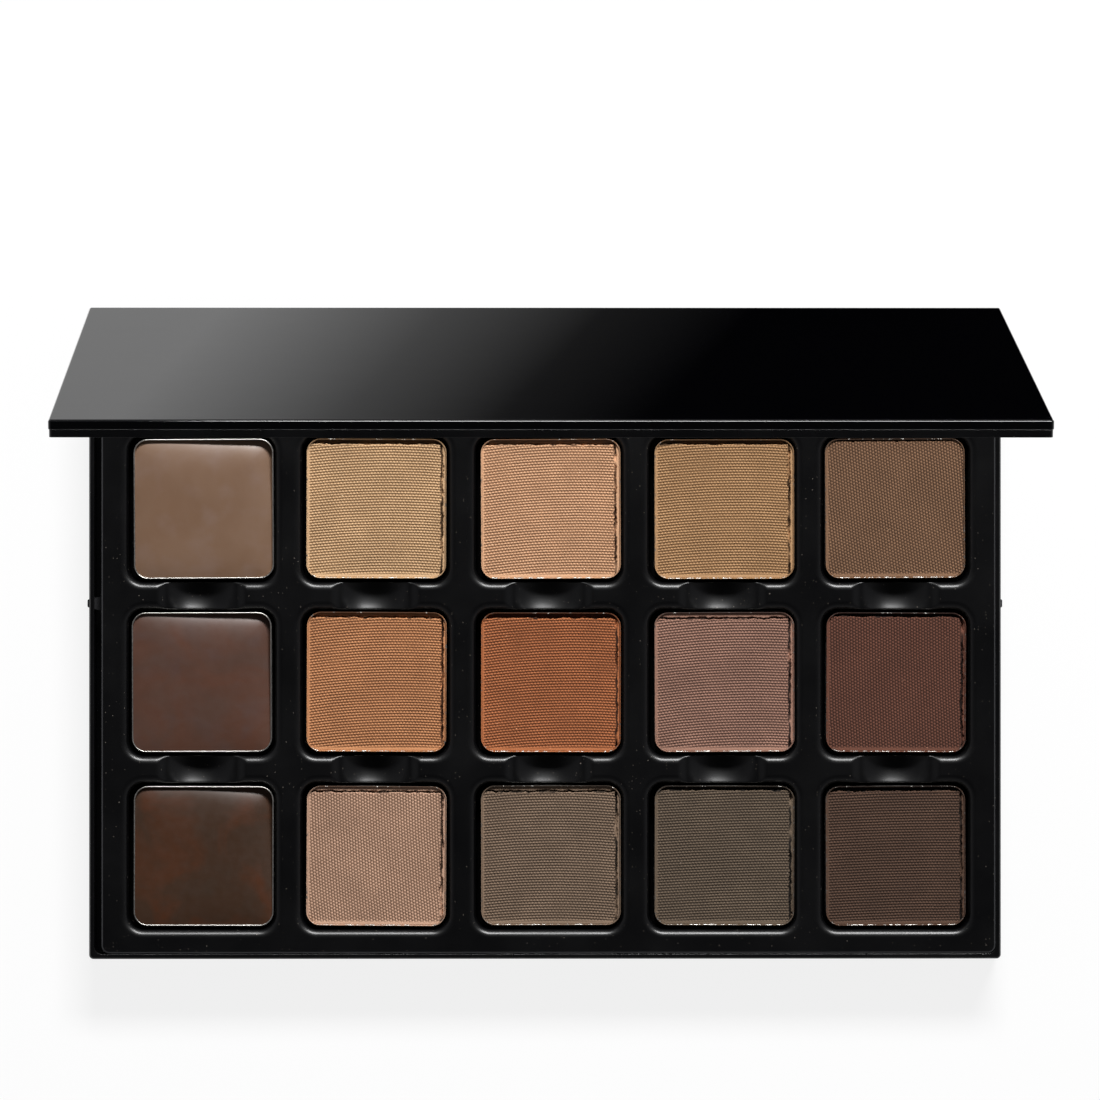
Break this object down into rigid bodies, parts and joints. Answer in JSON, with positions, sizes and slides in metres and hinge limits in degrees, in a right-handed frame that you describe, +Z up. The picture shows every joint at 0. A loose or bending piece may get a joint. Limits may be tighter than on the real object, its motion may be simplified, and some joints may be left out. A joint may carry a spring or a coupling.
{
  "type": "eyeshadow palette",
  "caption": "Flat rectangular cosmetics palette with a hinged mirror lid standing open and a moulded insert that holds lift-out square pans of pressed eyeshadow in brown shades.",
  "frame": {"origin": "centre of the underside of the case, on the surface it rests on", "axes": "+X to the right along the hinge, +Y from the front edge towards the hinge and lid, +Z up"},
  "size_m": [0.1704, 0.1212, 0.121],
  "materials": {
    "case_black": "satin",
    "insert_charcoal": "satin",
    "magnetic_rubber": "matte",
    "pin_steel": "ground",
    "magnet_nickel": "plated",
    "lid_gloss": "gloss",
    "mirror_silver": "polished",
    "adhesive_white": "matte",
    "pan_tinplate": "drawn",
    "shade_row1_col1": "satin cream",
    "shade_row1_col2": "pressed powder, woven imprint",
    "shade_row1_col3": "pressed powder, woven imprint",
    "shade_row1_col4": "pressed powder, woven imprint",
    "shade_row1_col5": "pressed powder, woven imprint",
    "shade_row2_col1": "satin cream",
    "shade_row2_col2": "pressed powder, woven imprint",
    "shade_row2_col3": "pressed powder, woven imprint",
    "shade_row2_col4": "pressed powder, woven imprint",
    "shade_row2_col5": "pressed powder, woven imprint",
    "shade_row3_col1": "satin cream",
    "shade_row3_col2": "pressed powder, woven imprint",
    "shade_row3_col3": "pressed powder, woven imprint",
    "shade_row3_col4": "pressed powder, woven imprint",
    "shade_row3_col5": "pressed powder, woven imprint"
  },
  "bodies": {
    "base": {"base_shell": "case_black", "insert_tray": "insert_charcoal", "magnetic_sheet": "magnetic_rubber", "hinge_pin_left": "pin_steel", "hinge_pin_right": "pin_steel", "base_closure_magnets": "magnet_nickel"},
    "lid": {"lid_frame": "case_black", "lid_cover": "lid_gloss", "mirror": "mirror_silver", "mirror_adhesive": "adhesive_white", "lid_closure_magnets": "magnet_nickel"},
    "refill_row1_col1": {"pan_row1_col1": "pan_tinplate", "cream_row1_col1": "shade_row1_col1"},
    "refill_row1_col2": {"pan_row1_col2": "pan_tinplate", "powder_row1_col2": "shade_row1_col2"},
    "refill_row1_col3": {"pan_row1_col3": "pan_tinplate", "powder_row1_col3": "shade_row1_col3"},
    "refill_row1_col4": {"pan_row1_col4": "pan_tinplate", "powder_row1_col4": "shade_row1_col4"},
    "refill_row1_col5": {"pan_row1_col5": "pan_tinplate", "powder_row1_col5": "shade_row1_col5"},
    "refill_row2_col1": {"pan_row2_col1": "pan_tinplate", "cream_row2_col1": "shade_row2_col1"},
    "refill_row2_col2": {"pan_row2_col2": "pan_tinplate", "powder_row2_col2": "shade_row2_col2"},
    "refill_row2_col3": {"pan_row2_col3": "pan_tinplate", "powder_row2_col3": "shade_row2_col3"},
    "refill_row2_col4": {"pan_row2_col4": "pan_tinplate", "powder_row2_col4": "shade_row2_col4"},
    "refill_row2_col5": {"pan_row2_col5": "pan_tinplate", "powder_row2_col5": "shade_row2_col5"},
    "refill_row3_col1": {"pan_row3_col1": "pan_tinplate", "cream_row3_col1": "shade_row3_col1"},
    "refill_row3_col2": {"pan_row3_col2": "pan_tinplate", "powder_row3_col2": "shade_row3_col2"},
    "refill_row3_col3": {"pan_row3_col3": "pan_tinplate", "powder_row3_col3": "shade_row3_col3"},
    "refill_row3_col4": {"pan_row3_col4": "pan_tinplate", "powder_row3_col4": "shade_row3_col4"},
    "refill_row3_col5": {"pan_row3_col5": "pan_tinplate", "powder_row3_col5": "shade_row3_col5"}
  },
  "joints": [
    {"name": "lid_hinge", "type": "hinge", "parent": "base", "child": "lid", "pos_m": [0, 0.059, 0.0068], "axis": [-1, 0, 0], "range_deg": [-78.6, 101.4]},
    {"name": "lift_row1_col1", "type": "slide", "parent": "base", "child": "refill_row1_col1", "axis": [0, 0, 1], "range_m": [0, 0.015]},
    {"name": "lift_row1_col2", "type": "slide", "parent": "base", "child": "refill_row1_col2", "axis": [0, 0, 1], "range_m": [0, 0.015]},
    {"name": "lift_row1_col3", "type": "slide", "parent": "base", "child": "refill_row1_col3", "axis": [0, 0, 1], "range_m": [0, 0.015]},
    {"name": "lift_row1_col4", "type": "slide", "parent": "base", "child": "refill_row1_col4", "axis": [0, 0, 1], "range_m": [0, 0.015]},
    {"name": "lift_row1_col5", "type": "slide", "parent": "base", "child": "refill_row1_col5", "axis": [0, 0, 1], "range_m": [0, 0.015]},
    {"name": "lift_row2_col1", "type": "slide", "parent": "base", "child": "refill_row2_col1", "axis": [0, 0, 1], "range_m": [0, 0.015]},
    {"name": "lift_row2_col2", "type": "slide", "parent": "base", "child": "refill_row2_col2", "axis": [0, 0, 1], "range_m": [0, 0.015]},
    {"name": "lift_row2_col3", "type": "slide", "parent": "base", "child": "refill_row2_col3", "axis": [0, 0, 1], "range_m": [0, 0.015]},
    {"name": "lift_row2_col4", "type": "slide", "parent": "base", "child": "refill_row2_col4", "axis": [0, 0, 1], "range_m": [0, 0.015]},
    {"name": "lift_row2_col5", "type": "slide", "parent": "base", "child": "refill_row2_col5", "axis": [0, 0, 1], "range_m": [0, 0.015]},
    {"name": "lift_row3_col1", "type": "slide", "parent": "base", "child": "refill_row3_col1", "axis": [0, 0, 1], "range_m": [0, 0.015]},
    {"name": "lift_row3_col2", "type": "slide", "parent": "base", "child": "refill_row3_col2", "axis": [0, 0, 1], "range_m": [0, 0.015]},
    {"name": "lift_row3_col3", "type": "slide", "parent": "base", "child": "refill_row3_col3", "axis": [0, 0, 1], "range_m": [0, 0.015]},
    {"name": "lift_row3_col4", "type": "slide", "parent": "base", "child": "refill_row3_col4", "axis": [0, 0, 1], "range_m": [0, 0.015]},
    {"name": "lift_row3_col5", "type": "slide", "parent": "base", "child": "refill_row3_col5", "axis": [0, 0, 1], "range_m": [0, 0.015]}
  ]
}
